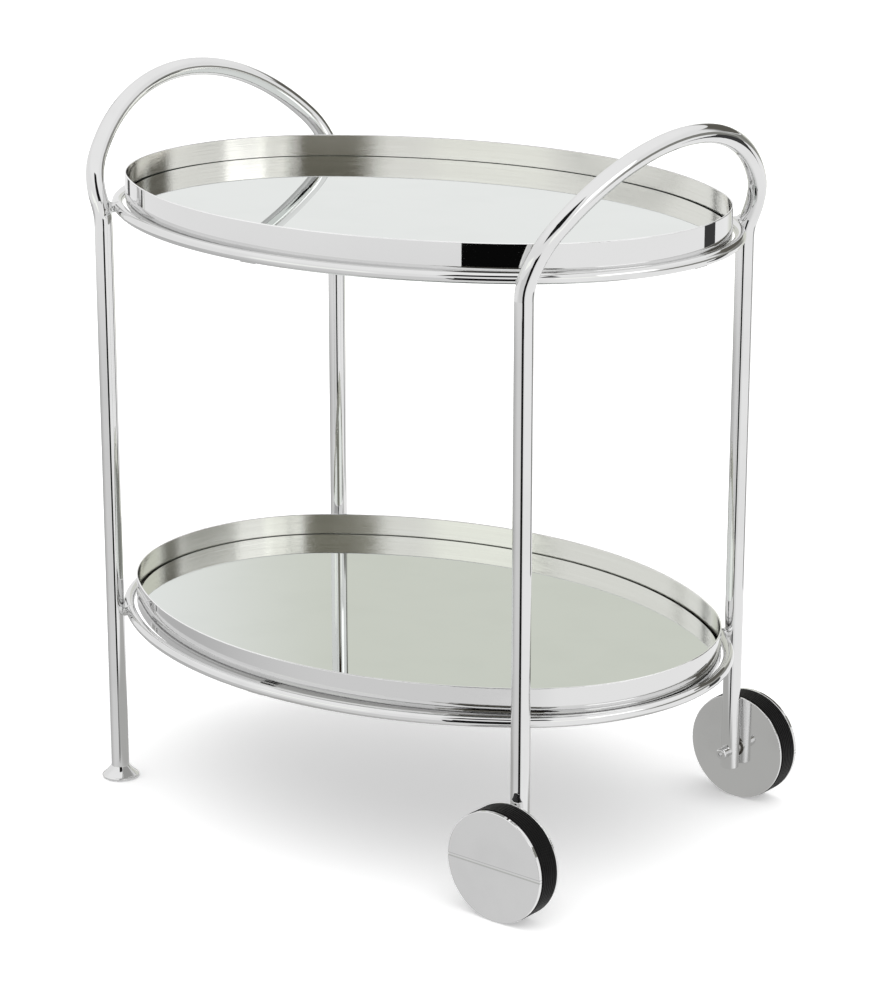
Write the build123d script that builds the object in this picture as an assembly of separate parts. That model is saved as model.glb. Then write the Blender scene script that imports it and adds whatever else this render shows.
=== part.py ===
from build123d import *
import math
import os

# Oval two-tier bar cart: two bent tube hoops, two bar rings, two mirror trays, two wheels, two feet.
# Millimetres, +Z up, origin on the floor under the middle, +X to the wheel end, -Y to the front.

# Hoop tube
TUBE_DIAMETER = 20.0
TUBE_WALL = 1.5
LEG_X = 290.0
LEAN_BEND_BELOW_RIM = 39.0
LEAN_BEND_RADIUS = 60.0
LEAN_ANGLE = 23.5
SHOULDER_RADIUS = 78.0
SHOULDER_TURN = 41.0

# Bar rings that are welded between the legs
RING_BAR_DIAMETER = 12.0
RING_HALF_LENGTH = 366.8
RING_HALF_WIDTH = 274.6
RING_END_ROUNDNESS = 0.82
RING_ABOVE_TRAY_BASE = 4.0
WELD_GAP = 1.2
WELD_STEP = 0.5

# Trays
UPPER_RIM_HEIGHT = 695.0
LOWER_RIM_HEIGHT = 232.0
TRAY_END_GAP = 1.3
TRAY_SIDE_GAP = 5.6
TRAY_ROUNDNESS_STEP = 7.0
TRAY_WALL = 1.5
TRAY_CORNER_RADIUS = 4.5
RIM_ROUNDING = 0.6

# Mirror glass, with felt and a stiffening board under it
MIRROR_BELOW_RIM = 25.0
MIRROR_THICKNESS = 4.0
MIRROR_EDGE_GAP = 2.0
MIRROR_ARRIS = 0.8
FELT_THICKNESS = 1.0
FELT_INSET = 12.0
BOARD_THICKNESS = 5.5
BOARD_INSET = 5.0

# Lugs, studs and nuts that hold a tray in its ring
LUG_THICKNESS = 3.0
LUG_WIDTH = 20.0
STUD_INSET = 18.0
STUD_DIAMETER = 5.0
STUD_BEYOND_NUT = 1.5
STUD_TIP = 0.6
STUD_CLEARANCE = 0.3
NUT_ACROSS_FLATS = 8.0
NUT_HEIGHT = 4.0

# Feet under the foot-end legs
FOOT_DIAMETER = 42.0
FOOT_HEIGHT = 14.0
FOOT_EDGE = 3.2
FOOT_TOP_LIP = 0.5
FOOT_WAIST_OUT = 0.42
FOOT_WAIST_UP = 0.42
GLIDE_INSET = 4.0
GLIDE_THICKNESS = 2.5
GLIDE_PROUD = 1.0
GLIDE_ROUNDING = 0.5
STEM_DIAMETER = 8.0
STEM_LENGTH = 16.0
INSERT_BEYOND_STEM = 4.0

# Wheels at the wheel-end legs
WHEEL_DIAMETER = 120.0
WHEEL_WIDTH = 32.0
TYRE_PROUD = 0.4
INNER_DISC_THICKNESS = 2.5
OUTER_DISC_THICKNESS = 4.5
DISC_EDGE_ROUNDING = 0.8
GROOVE_WIDTH = 3.0
GROOVE_DEPTH = 1.0
TYRE_DEPTH = 15.0
TYRE_ROUNDING = 1.2
SPIGOT_DIAMETER = 50.0
SPIGOT_WALL = 3.0
SPIGOT_DEPTH = 4.0
BUSH_WALL = 3.0
BUSH_FLANGE_STEP = 3.0

# Axle bolts
AXLE_DIAMETER = 8.0
AXLE_HEAD_DIAMETER = 13.0
AXLE_HEAD_HEIGHT = 8.0
AXLE_HEAD_ROUNDING = 2.5
SOCKET_ACROSS_FLATS = 5.0
SOCKET_DEPTH = 4.0
AXLE_NUT_ACROSS_FLATS = 13.0
AXLE_NUT_HEIGHT = 5.0
AXLE_END_BEYOND_NUT = 1.0
AXLE_END_ROOM = 4.2
NUT_POCKET_CLEARANCE = 2.0
SADDLE_TO_TUBE = 0.75
SADDLE_THICKNESS = 1.5
SPACER_TO_TUBE = 0.8
SPACER_THICKNESS = 1.5
LEG_BELOW_AXLE = 18.5
PLUG_CAP = 1.5
PLUG_ROUNDING = 0.9
PLUG_TO_AXLE = 2.5

# Clearances
CLOSE_FIT = 0.05
BOLT_CLEARANCE = 0.2
END_CLEARANCE = 0.3

# Worked out from the sizes above
TUBE_RADIUS = TUBE_DIAMETER / 2
BORE_RADIUS = TUBE_RADIUS - TUBE_WALL
LEAN_BEND_HEIGHT = UPPER_RIM_HEIGHT - LEAN_BEND_BELOW_RIM
RING_RADIUS = RING_BAR_DIAMETER / 2
RING_END_RADIUS = RING_HALF_WIDTH * RING_END_ROUNDNESS
WELD_RADIUS = RING_RADIUS - WELD_STEP
TRAY_HALF_LENGTH = RING_HALF_LENGTH - RING_RADIUS - TRAY_END_GAP
TRAY_HALF_WIDTH = RING_HALF_WIDTH - RING_RADIUS - TRAY_SIDE_GAP
TRAY_END_RADIUS = RING_END_RADIUS - RING_RADIUS - TRAY_ROUNDNESS_STEP
TRAY_DEPTH = MIRROR_BELOW_RIM + MIRROR_THICKNESS + FELT_THICKNESS + BOARD_THICKNESS + TRAY_WALL
STUD_RADIUS = STUD_DIAMETER / 2
STUD_LENGTH = LUG_THICKNESS + NUT_HEIGHT + STUD_BEYOND_NUT
GLIDE_RADIUS = FOOT_DIAMETER / 2 - GLIDE_INSET
STEM_RADIUS = STEM_DIAMETER / 2
INSERT_LENGTH = STEM_LENGTH + INSERT_BEYOND_STEM
WHEEL_RADIUS = WHEEL_DIAMETER / 2
DISC_RADIUS = WHEEL_RADIUS - TYRE_PROUD
CORE_RADIUS = WHEEL_RADIUS - TYRE_DEPTH
SPIGOT_RADIUS = SPIGOT_DIAMETER / 2
AXLE_RADIUS = AXLE_DIAMETER / 2
AXLE_HEIGHT = WHEEL_RADIUS
BUSH_RADIUS = AXLE_RADIUS + BUSH_WALL
BUSH_FLANGE_RADIUS = BUSH_RADIUS + BUSH_FLANGE_STEP
NUT_POCKET_RADIUS = AXLE_NUT_ACROSS_FLATS / 2 / math.cos(math.pi / 6) + NUT_POCKET_CLEARANCE
PLUG_STEM = LEG_BELOW_AXLE - AXLE_RADIUS - PLUG_TO_AXLE
TIERS = {"upper": UPPER_RIM_HEIGHT, "lower": LOWER_RIM_HEIGHT}
SIDES = (-1, 1)
STANDING = (Align.CENTER, Align.CENTER, Align.MIN)

# Places along Y outwards from the axis of a wheel-end leg
SADDLE_FACE = -TUBE_RADIUS - SADDLE_THICKNESS
SPACER_END = TUBE_RADIUS + SPACER_THICKNESS
WHEEL_START = SPACER_END + END_CLEARANCE
WHEEL_END = WHEEL_START + WHEEL_WIDTH
CORE_START = WHEEL_START + INNER_DISC_THICKNESS
CORE_END = WHEEL_END - OUTER_DISC_THICKNESS
AXLE_END = CORE_END - AXLE_END_ROOM
NUT_START = AXLE_END - AXLE_END_BEYOND_NUT - AXLE_NUT_HEIGHT
BUSH_END = NUT_START - END_CLEARANCE


def oval_arcs(half_length, half_width, end_radius):
    """Give the drop of a side arc's centre, the side radius and the end arc's half turn in degrees."""
    reach = half_length - end_radius
    rise = half_width - end_radius
    drop = (reach**2 - rise**2) / (2 * rise)
    turn = math.degrees(math.atan2(drop, reach))
    return drop, half_width + drop, turn


def oval_block(half_length, half_width, end_radius, bottom, top):
    """Make a solid plate whose outline is an oval of four tangent arcs."""
    turn = math.radians(oval_arcs(half_length, half_width, end_radius)[2])
    x = half_length - end_radius + end_radius * math.cos(turn)
    y = end_radius * math.sin(turn)
    arcs = [
        ThreePointArc((x, -y), (half_length, 0), (x, y)),
        ThreePointArc((x, y), (0, half_width), (-x, y)),
        ThreePointArc((-x, y), (-half_length, 0), (-x, -y)),
        ThreePointArc((-x, -y), (0, -half_width), (x, -y)),
    ]
    return Pos(0, 0, bottom) * extrude(make_face(arcs), amount=top - bottom)


def section(point, direction, radius, bore):
    """Make the round face of a bar, or of a tube where it has a bore."""
    face = Circle(radius)
    if bore:
        face -= Circle(bore)
    return Plane(origin=point, z_dir=direction) * face


def bent_bar(point, direction, steps, radius, bore=0.0):
    """Follow straight runs (a length) and bends (a radius, an angle and an axis) with a round section."""
    point = Vector(*point)
    direction = Vector(*direction).normalized()
    pieces = []
    for step in steps:
        face = section(point, direction, radius, bore)
        if len(step) == 1:
            pieces.append(extrude(face, amount=step[0], dir=direction))
            point = point + direction * step[0]
            continue
        bend_radius, angle, axis_direction = step
        axis_direction = Vector(*axis_direction).normalized()
        centre = point + axis_direction.cross(direction) * bend_radius
        pieces.append(revolve(face, Axis(centre, axis_direction), angle))
        turning = Axis((0, 0, 0), axis_direction)
        point = centre + (point - centre).rotate(turning, angle)
        direction = direction.rotate(turning, angle)
    return pieces[0].fuse(*pieces[1:]).clean()


def ring_bar(height):
    """Make one oval ring of round bar, at the height of its middle."""
    _, side_radius, turn = oval_arcs(RING_HALF_LENGTH, RING_HALF_WIDTH, RING_END_RADIUS)
    up = (0, 0, 1)
    side_turn = 180 - 2 * turn
    steps = [
        (RING_END_RADIUS, turn, up),
        (side_radius, side_turn, up),
        (RING_END_RADIUS, 2 * turn, up),
        (side_radius, side_turn, up),
        (RING_END_RADIUS, turn, up),
    ]
    return bent_bar((RING_HALF_LENGTH, 0, height), (0, 1, 0), steps, RING_RADIUS)


def leg_place():
    """Give a leg's Y, and the centre of the ring arc that faces the leg."""
    drop, side_radius, turn = oval_arcs(RING_HALF_LENGTH, RING_HALF_WIDTH, RING_END_RADIUS)
    standoff = RING_RADIUS + WELD_GAP + TUBE_RADIUS
    side_reach = side_radius + standoff
    if LEG_X <= side_reach * math.cos(math.radians(turn)):
        return math.sqrt(side_reach**2 - LEG_X**2) - drop, Vector(0, -drop, 0)
    end_x = RING_HALF_LENGTH - RING_END_RADIUS
    end_reach = RING_END_RADIUS + standoff
    return math.sqrt(end_reach**2 - (LEG_X - end_x) ** 2), Vector(end_x, 0, 0)


LEG_Y, WELD_CENTRE = leg_place()
CROWN_RADIUS = (LEG_Y - SHOULDER_RADIUS) / math.cos(math.radians(SHOULDER_TURN)) + SHOULDER_RADIUS


def hoop(leg_end, bore):
    """Make one hoop at the +X end: a leg, an arch that leans outwards, and the other leg."""
    lean = math.radians(LEAN_ANGLE)
    bend_start = LEAN_BEND_HEIGHT - LEAN_BEND_RADIUS * math.tan(lean / 2)
    arch_axis = (-math.cos(lean), 0, math.sin(lean))
    leg_run = (bend_start - leg_end,)
    steps = [
        leg_run,
        (LEAN_BEND_RADIUS, LEAN_ANGLE, (0, 1, 0)),
        (SHOULDER_RADIUS, SHOULDER_TURN, arch_axis),
        (CROWN_RADIUS, 180 - 2 * SHOULDER_TURN, arch_axis),
        (SHOULDER_RADIUS, SHOULDER_TURN, arch_axis),
        (LEAN_BEND_RADIUS, LEAN_ANGLE, (0, -1, 0)),
        leg_run,
    ]
    return bent_bar((LEG_X, -LEG_Y, leg_end), (0, 0, 1), steps, TUBE_RADIUS, bore)


def rod(radius, start, end, x=0.0, z=0.0):
    """Make a round rod along Y from start to end."""
    return Pos(x, start, z) * Rot(-90, 0, 0) * Cylinder(radius, end - start, align=STANDING)


def post(radius, bottom, top, x=0.0, y=0.0):
    """Make a round post along Z from bottom to top."""
    return Pos(x, y, bottom) * Cylinder(radius, top - bottom, align=STANDING)


def hexagon(across_flats, height):
    """Make a six-sided block on the XY plane."""
    return extrude(RegularPolygon(across_flats / 2, 6, major_radius=False), amount=height)


def ring_welds(height, ring, hoop_block):
    """Make the four short weld collars between a ring and the legs."""
    leg = Vector(LEG_X, LEG_Y, height)
    inward = (Vector(WELD_CENTRE.X, WELD_CENTRE.Y, height) - leg).normalized()
    reach = TUBE_RADIUS + WELD_GAP + RING_RADIUS
    collar = extrude(section(leg, inward, WELD_RADIUS, 0.0), amount=reach, dir=inward)
    weld = (collar - hoop_block - ring).solids()[0]
    welds = [weld, mirror(weld, about=Plane.XZ)]
    welds += [mirror(piece, about=Plane.YZ) for piece in welds]
    return Compound(children=welds)


def lug_places():
    """Give each lug's stud place and its outward direction in degrees, round a tray."""
    reach_x = TRAY_HALF_LENGTH - STUD_INSET
    reach_y = TRAY_HALF_WIDTH - STUD_INSET
    return [(reach_x, 0, 0), (0, reach_y, 90), (-reach_x, 0, 180), (0, -reach_y, 270)]


def ring_reach(angle):
    """Give the ring's half length or half width for a lug that points that way."""
    return RING_HALF_WIDTH if angle % 180 else RING_HALF_LENGTH


def tray_lugs(tray_bottom, ring):
    """Make the four flat lugs that are welded inside a ring and carry a tray."""
    lugs = []
    for x, y, angle in lug_places():
        length = ring_reach(angle) - math.hypot(x, y)
        tongue = Box(length, LUG_WIDTH, LUG_THICKNESS, align=(Align.MIN, Align.CENTER, Align.MAX))
        round_end = post(LUG_WIDTH / 2, -LUG_THICKNESS, 0)
        hole = post(STUD_RADIUS + STUD_CLEARANCE, -LUG_THICKNESS, 0)
        blank = Pos(x, y, tray_bottom) * Rot(0, 0, angle) * (tongue + round_end - hole)
        solids = (blank - ring).solids()
        lugs.append(max(solids, key=lambda piece: piece.volume))
    return Compound(children=lugs)


def tray_studs(tray_bottom):
    """Make the studs that hang from a tray's base through the lugs."""
    studs = []
    for x, y, _ in lug_places():
        stud = post(STUD_RADIUS, tray_bottom - STUD_LENGTH, tray_bottom, x, y)
        tip = stud.edges().group_by(Axis.Z)[0]
        studs.append(chamfer(tip, STUD_TIP).solids()[0])
    return Compound(children=studs)


def tray_nuts(tray_bottom):
    """Make the nuts that pull a tray's studs down on the lugs."""
    nuts = []
    for x, y, angle in lug_places():
        bottom = tray_bottom - LUG_THICKNESS - NUT_HEIGHT
        bore = post(STUD_RADIUS + CLOSE_FIT, 0, NUT_HEIGHT)
        nut = hexagon(NUT_ACROSS_FLATS, NUT_HEIGHT) - bore
        nuts.append((Pos(x, y, bottom) * Rot(0, 0, angle) * nut).solids()[0])
    return Compound(children=nuts)


def tray_pan(rim):
    """Make one tray: an oval pan of thin sheet with a rounded lower corner."""
    bottom = rim - TRAY_DEPTH
    outside = oval_block(TRAY_HALF_LENGTH, TRAY_HALF_WIDTH, TRAY_END_RADIUS, bottom, rim)
    outside = fillet(outside.edges().group_by(Axis.Z)[0], TRAY_CORNER_RADIUS)
    inside = oval_block(
        TRAY_HALF_LENGTH - TRAY_WALL,
        TRAY_HALF_WIDTH - TRAY_WALL,
        TRAY_END_RADIUS - TRAY_WALL,
        bottom + TRAY_WALL,
        rim,
    )
    inside = fillet(inside.edges().group_by(Axis.Z)[0], TRAY_CORNER_RADIUS - TRAY_WALL)
    pan = outside - inside
    return fillet(pan.edges().group_by(Axis.Z)[-1], RIM_ROUNDING)


def inner_plate(inset, bottom, thickness):
    """Make an oval plate that lies in a tray, with a gap of inset to the wall's inside."""
    edge = TRAY_WALL + inset
    half_length = TRAY_HALF_LENGTH - edge
    return oval_block(half_length, TRAY_HALF_WIDTH - edge, TRAY_END_RADIUS - edge, bottom, bottom + thickness)


def mirror_glass(rim):
    """Make the mirror that floors a tray, with its edges ground off."""
    glass = inner_plate(MIRROR_EDGE_GAP, rim - MIRROR_BELOW_RIM - MIRROR_THICKNESS, MIRROR_THICKNESS)
    top_and_bottom = glass.edges().group_by(Axis.Z)[-1] + glass.edges().group_by(Axis.Z)[0]
    return chamfer(top_and_bottom, MIRROR_ARRIS)


def mirror_felt(rim):
    """Make the felt sheet between a mirror and its board."""
    bottom = rim - MIRROR_BELOW_RIM - MIRROR_THICKNESS - FELT_THICKNESS
    return inner_plate(FELT_INSET, bottom, FELT_THICKNESS)


def mirror_board(rim):
    """Make the board that stiffens a tray's base and carries the felt and the mirror."""
    return inner_plate(BOARD_INSET, rim - TRAY_DEPTH + TRAY_WALL, BOARD_THICKNESS)


def foot():
    """Make one flared foot with its threaded stem, on the Z axis."""
    edge = FOOT_EDGE / 2
    rim_radius = FOOT_DIAMETER / 2
    top_radius = TUBE_RADIUS + FOOT_TOP_LIP
    floor = GLIDE_PROUD
    waist_x = top_radius + (rim_radius - top_radius) * FOOT_WAIST_OUT
    waist_z = floor + FOOT_EDGE + (FOOT_HEIGHT - floor - FOOT_EDGE) * FOOT_WAIST_UP
    flank = rim_radius - edge
    outline = [
        Line((0, floor), (flank, floor)),
        ThreePointArc((flank, floor), (rim_radius, floor + edge), (flank, floor + FOOT_EDGE)),
        ThreePointArc((flank, floor + FOOT_EDGE), (waist_x, waist_z), (top_radius, FOOT_HEIGHT)),
        Line((top_radius, FOOT_HEIGHT), (0, FOOT_HEIGHT)),
        Line((0, FOOT_HEIGHT), (0, floor)),
    ]
    body = revolve(Plane.XZ * make_face(outline), Axis.Z)
    body -= post(GLIDE_RADIUS + CLOSE_FIT, 0, GLIDE_THICKNESS)
    return body + post(STEM_RADIUS - CLOSE_FIT, FOOT_HEIGHT, FOOT_HEIGHT + STEM_LENGTH)


def foot_glides():
    """Make the two felt glides under the feet."""
    glide = post(GLIDE_RADIUS, 0, GLIDE_THICKNESS)
    glide = fillet(glide.edges().group_by(Axis.Z)[0], GLIDE_ROUNDING)
    return Compound(children=[(Pos(-LEG_X, side * LEG_Y, 0) * glide).solids()[0] for side in SIDES])


def leg_inserts():
    """Make the threaded plugs in the foot-end legs."""
    plug = post(BORE_RADIUS - CLOSE_FIT, FOOT_HEIGHT, FOOT_HEIGHT + INSERT_LENGTH)
    plug -= post(STEM_RADIUS, FOOT_HEIGHT, FOOT_HEIGHT + INSERT_LENGTH)
    return Compound(children=[(Pos(-LEG_X, side * LEG_Y, 0) * plug).solids()[0] for side in SIDES])


def leg_end_plugs():
    """Make the rounded caps that close the wheel-end legs."""
    tube_end = AXLE_HEIGHT - LEG_BELOW_AXLE
    cap = post(TUBE_RADIUS, tube_end - PLUG_CAP, tube_end)
    cap = fillet(cap.edges().group_by(Axis.Z)[0], PLUG_ROUNDING)
    plug = cap + post(BORE_RADIUS - CLOSE_FIT, tube_end, tube_end + PLUG_STEM)
    return Compound(children=[(Pos(LEG_X, side * LEG_Y, 0) * plug).solids()[0] for side in SIDES])


def axle_bolt():
    """Make a socket head bolt along Y, with the leg's axis at the origin."""
    head_start = SADDLE_FACE - AXLE_HEAD_HEIGHT
    head = rod(AXLE_HEAD_DIAMETER / 2, head_start, SADDLE_FACE)
    head = fillet(head.edges().group_by(Axis.Y)[0], AXLE_HEAD_ROUNDING)
    socket = Pos(0, head_start, 0) * Rot(-90, 0, 0) * hexagon(SOCKET_ACROSS_FLATS, SOCKET_DEPTH)
    return head - socket + rod(AXLE_RADIUS, SADDLE_FACE, AXLE_END)


def axle_saddle():
    """Make the saddle washer between a bolt head and the round leg."""
    block = rod(TUBE_RADIUS * SADDLE_TO_TUBE, SADDLE_FACE, 0)
    block -= rod(AXLE_RADIUS + BOLT_CLEARANCE, SADDLE_FACE, 0)
    return (block - post(TUBE_RADIUS, -TUBE_DIAMETER, TUBE_DIAMETER)).solids()[0]


def axle_spacer():
    """Make the spacer that is hollowed to the leg and bears on the wheel's bush."""
    block = rod(TUBE_RADIUS * SPACER_TO_TUBE, 0, SPACER_END)
    block -= rod(AXLE_RADIUS + BOLT_CLEARANCE, 0, SPACER_END)
    return (block - post(TUBE_RADIUS, -TUBE_DIAMETER, TUBE_DIAMETER)).solids()[0]


def axle_nut():
    """Make the thin nut on the axle's end, inside the wheel."""
    nut = Pos(0, NUT_START, 0) * Rot(-90, 0, 0) * hexagon(AXLE_NUT_ACROSS_FLATS, AXLE_NUT_HEIGHT)
    return nut - rod(AXLE_RADIUS + CLOSE_FIT, NUT_START, NUT_START + AXLE_NUT_HEIGHT)


def spigot(start, end):
    """Make the short collar by which a disc is pressed in the wheel's core."""
    return rod(SPIGOT_RADIUS, start, end) - rod(SPIGOT_RADIUS - SPIGOT_WALL, start, end)


def spigot_seat(start, end):
    """Make the room that the core leaves for a disc's collar."""
    inner = SPIGOT_RADIUS - SPIGOT_WALL - CLOSE_FIT
    return rod(SPIGOT_RADIUS + CLOSE_FIT, start, end) - rod(inner, start, end)


def inner_disc():
    """Make the polished disc on the leg side of a wheel."""
    disc = rod(DISC_RADIUS, WHEEL_START, CORE_START)
    disc = fillet(disc.edges(), DISC_EDGE_ROUNDING)
    disc -= rod(BUSH_FLANGE_RADIUS + CLOSE_FIT, WHEEL_START, CORE_START)
    return disc + spigot(CORE_START, CORE_START + SPIGOT_DEPTH)


def outer_disc():
    """Make the polished disc on the outer side of a wheel, with a groove right across it."""
    disc = rod(DISC_RADIUS, CORE_END, WHEEL_END)
    disc = fillet(disc.edges(), DISC_EDGE_ROUNDING)
    groove = Box(2 * DISC_RADIUS, 2 * GROOVE_DEPTH, GROOVE_WIDTH)
    disc -= Pos(0, WHEEL_END, 0) * groove
    return disc + spigot(CORE_END - SPIGOT_DEPTH, CORE_END)


def wheel_core():
    """Make the moulded core with the bush's bore, the nut's pocket and the discs' seats."""
    core = rod(CORE_RADIUS - CLOSE_FIT, CORE_START, CORE_END)
    core -= rod(BUSH_RADIUS + CLOSE_FIT, CORE_START, CORE_END)
    core -= rod(NUT_POCKET_RADIUS, BUSH_END, CORE_END)
    core -= spigot_seat(CORE_START, CORE_START + SPIGOT_DEPTH + CLOSE_FIT)
    return core - spigot_seat(CORE_END - SPIGOT_DEPTH - CLOSE_FIT, CORE_END)


def wheel_bush():
    """Make the flanged bush that turns on the axle."""
    bush = rod(BUSH_RADIUS, WHEEL_START, BUSH_END)
    bush += rod(BUSH_FLANGE_RADIUS, WHEEL_START, CORE_START)
    return bush - rod(AXLE_RADIUS + CLOSE_FIT, WHEEL_START, BUSH_END)


def wheel_tyre():
    """Make the rubber tyre between the discs."""
    tyre = rod(WHEEL_RADIUS, CORE_START, CORE_END)
    tyre = fillet(tyre.edges(), TYRE_ROUNDING)
    return tyre - rod(CORE_RADIUS, CORE_START, CORE_END)


def at_wheel(piece, side):
    """Set a wheel piece on the rear leg, or its mirror image on the front leg."""
    turned = piece if side > 0 else mirror(piece, about=Plane.XZ)
    return Pos(LEG_X, side * LEG_Y, AXLE_HEIGHT) * turned


def pair(piece):
    """Group a wheel-end piece with its mirror image as two separate solids."""
    return Compound(children=[at_wheel(piece, side).solids()[0] for side in SIDES])


def build():
    """Make every node of the cart, by name."""
    nodes = {}
    nodes["foot_end_hoop"] = mirror(hoop(FOOT_HEIGHT, BORE_RADIUS), about=Plane.YZ)
    beyond_legs = LEG_Y + TUBE_DIAMETER
    axle_hole = rod(AXLE_RADIUS + BOLT_CLEARANCE, -beyond_legs, beyond_legs, LEG_X, AXLE_HEIGHT)
    nodes["wheel_end_hoop"] = hoop(AXLE_HEIGHT - LEG_BELOW_AXLE, BORE_RADIUS) - axle_hole
    hoop_block = hoop(AXLE_HEIGHT, 0.0)

    for tier, rim in TIERS.items():
        tray_bottom = rim - TRAY_DEPTH
        ring_height = tray_bottom + RING_ABOVE_TRAY_BASE
        ring = ring_bar(ring_height)
        nodes[f"{tier}_ring"] = ring
        nodes[f"{tier}_ring_welds"] = ring_welds(ring_height, ring, hoop_block)
        nodes[f"{tier}_tray_lugs"] = tray_lugs(tray_bottom, ring)
        nodes[f"{tier}_tray"] = tray_pan(rim)
        nodes[f"{tier}_tray_studs"] = tray_studs(tray_bottom)
        nodes[f"{tier}_tray_nuts"] = tray_nuts(tray_bottom)
        nodes[f"{tier}_mirror_board"] = mirror_board(rim)
        nodes[f"{tier}_mirror_felt"] = mirror_felt(rim)
        nodes[f"{tier}_mirror"] = mirror_glass(rim)

    nodes["front_foot"] = Pos(-LEG_X, -LEG_Y, 0) * foot()
    nodes["rear_foot"] = Pos(-LEG_X, LEG_Y, 0) * foot()
    nodes["foot_glides"] = foot_glides()
    nodes["leg_inserts"] = leg_inserts()
    nodes["leg_end_plugs"] = leg_end_plugs()
    nodes["axle_saddles"] = pair(axle_saddle())
    nodes["axle_spacers"] = pair(axle_spacer())
    nodes["axle_nuts"] = pair(axle_nut())

    for name, side in (("front", -1), ("rear", 1)):
        nodes[f"{name}_axle_bolt"] = at_wheel(axle_bolt(), side)
        nodes[f"{name}_wheel_inner_disc"] = at_wheel(inner_disc(), side)
        nodes[f"{name}_wheel_outer_disc"] = at_wheel(outer_disc(), side)
        nodes[f"{name}_wheel_core"] = at_wheel(wheel_core(), side)
        nodes[f"{name}_wheel_bush"] = at_wheel(wheel_bush(), side)
        nodes[f"{name}_wheel_tyre"] = at_wheel(wheel_tyre(), side)
    return nodes


os.makedirs("parts", exist_ok=True)
for node_name, shape in build().items():
    export_step(shape, f"parts/{node_name}.step")
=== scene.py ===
"""Oval two-tier bar cart in polished steel and mirror glass, in a plain white studio.

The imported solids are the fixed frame. This script gives each of them its finish, adds the weld beads,
and sets the floor, the surroundings, the light and the camera. Metres, +Z up, +X to the wheel end.
"""

import logging
import math
from dataclasses import dataclass, field
from enum import Enum

import bpy
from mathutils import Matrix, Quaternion, Vector


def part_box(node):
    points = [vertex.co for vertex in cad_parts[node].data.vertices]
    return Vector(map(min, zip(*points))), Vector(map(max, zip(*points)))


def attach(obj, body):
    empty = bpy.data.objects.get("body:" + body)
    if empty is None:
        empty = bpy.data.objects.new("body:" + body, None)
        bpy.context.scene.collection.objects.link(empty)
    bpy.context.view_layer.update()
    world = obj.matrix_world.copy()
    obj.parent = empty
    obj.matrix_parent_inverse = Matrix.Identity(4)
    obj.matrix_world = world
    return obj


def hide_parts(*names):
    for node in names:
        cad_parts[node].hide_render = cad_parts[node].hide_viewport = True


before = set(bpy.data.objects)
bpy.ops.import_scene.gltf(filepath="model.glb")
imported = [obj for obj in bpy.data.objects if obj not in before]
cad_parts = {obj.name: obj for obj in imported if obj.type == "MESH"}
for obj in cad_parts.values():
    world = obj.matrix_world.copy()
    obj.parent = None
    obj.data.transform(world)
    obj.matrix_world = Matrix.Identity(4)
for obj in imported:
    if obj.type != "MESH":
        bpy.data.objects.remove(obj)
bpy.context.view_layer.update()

LOG = logging.getLogger("bar_cart")

# Ray depths are whole numbers: the first bounce is past one half, the second past one and a half.
FIRST_BOUNCE = 0.5
SECOND_BOUNCE = 1.5

Pair = tuple[float, float]
Triple = tuple[float, float, float]
Colour = Triple
Socket = bpy.types.NodeSocket


class Tier(Enum):
    """The cart's two shelves."""

    UPPER = "upper"
    LOWER = "lower"


class Side(Enum):
    """The cart's front, towards -Y, and its rear."""

    FRONT = "front"
    REAR = "rear"


def grey(level: float) -> Colour:
    """Give a neutral colour."""
    return (level, level, level)


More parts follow.
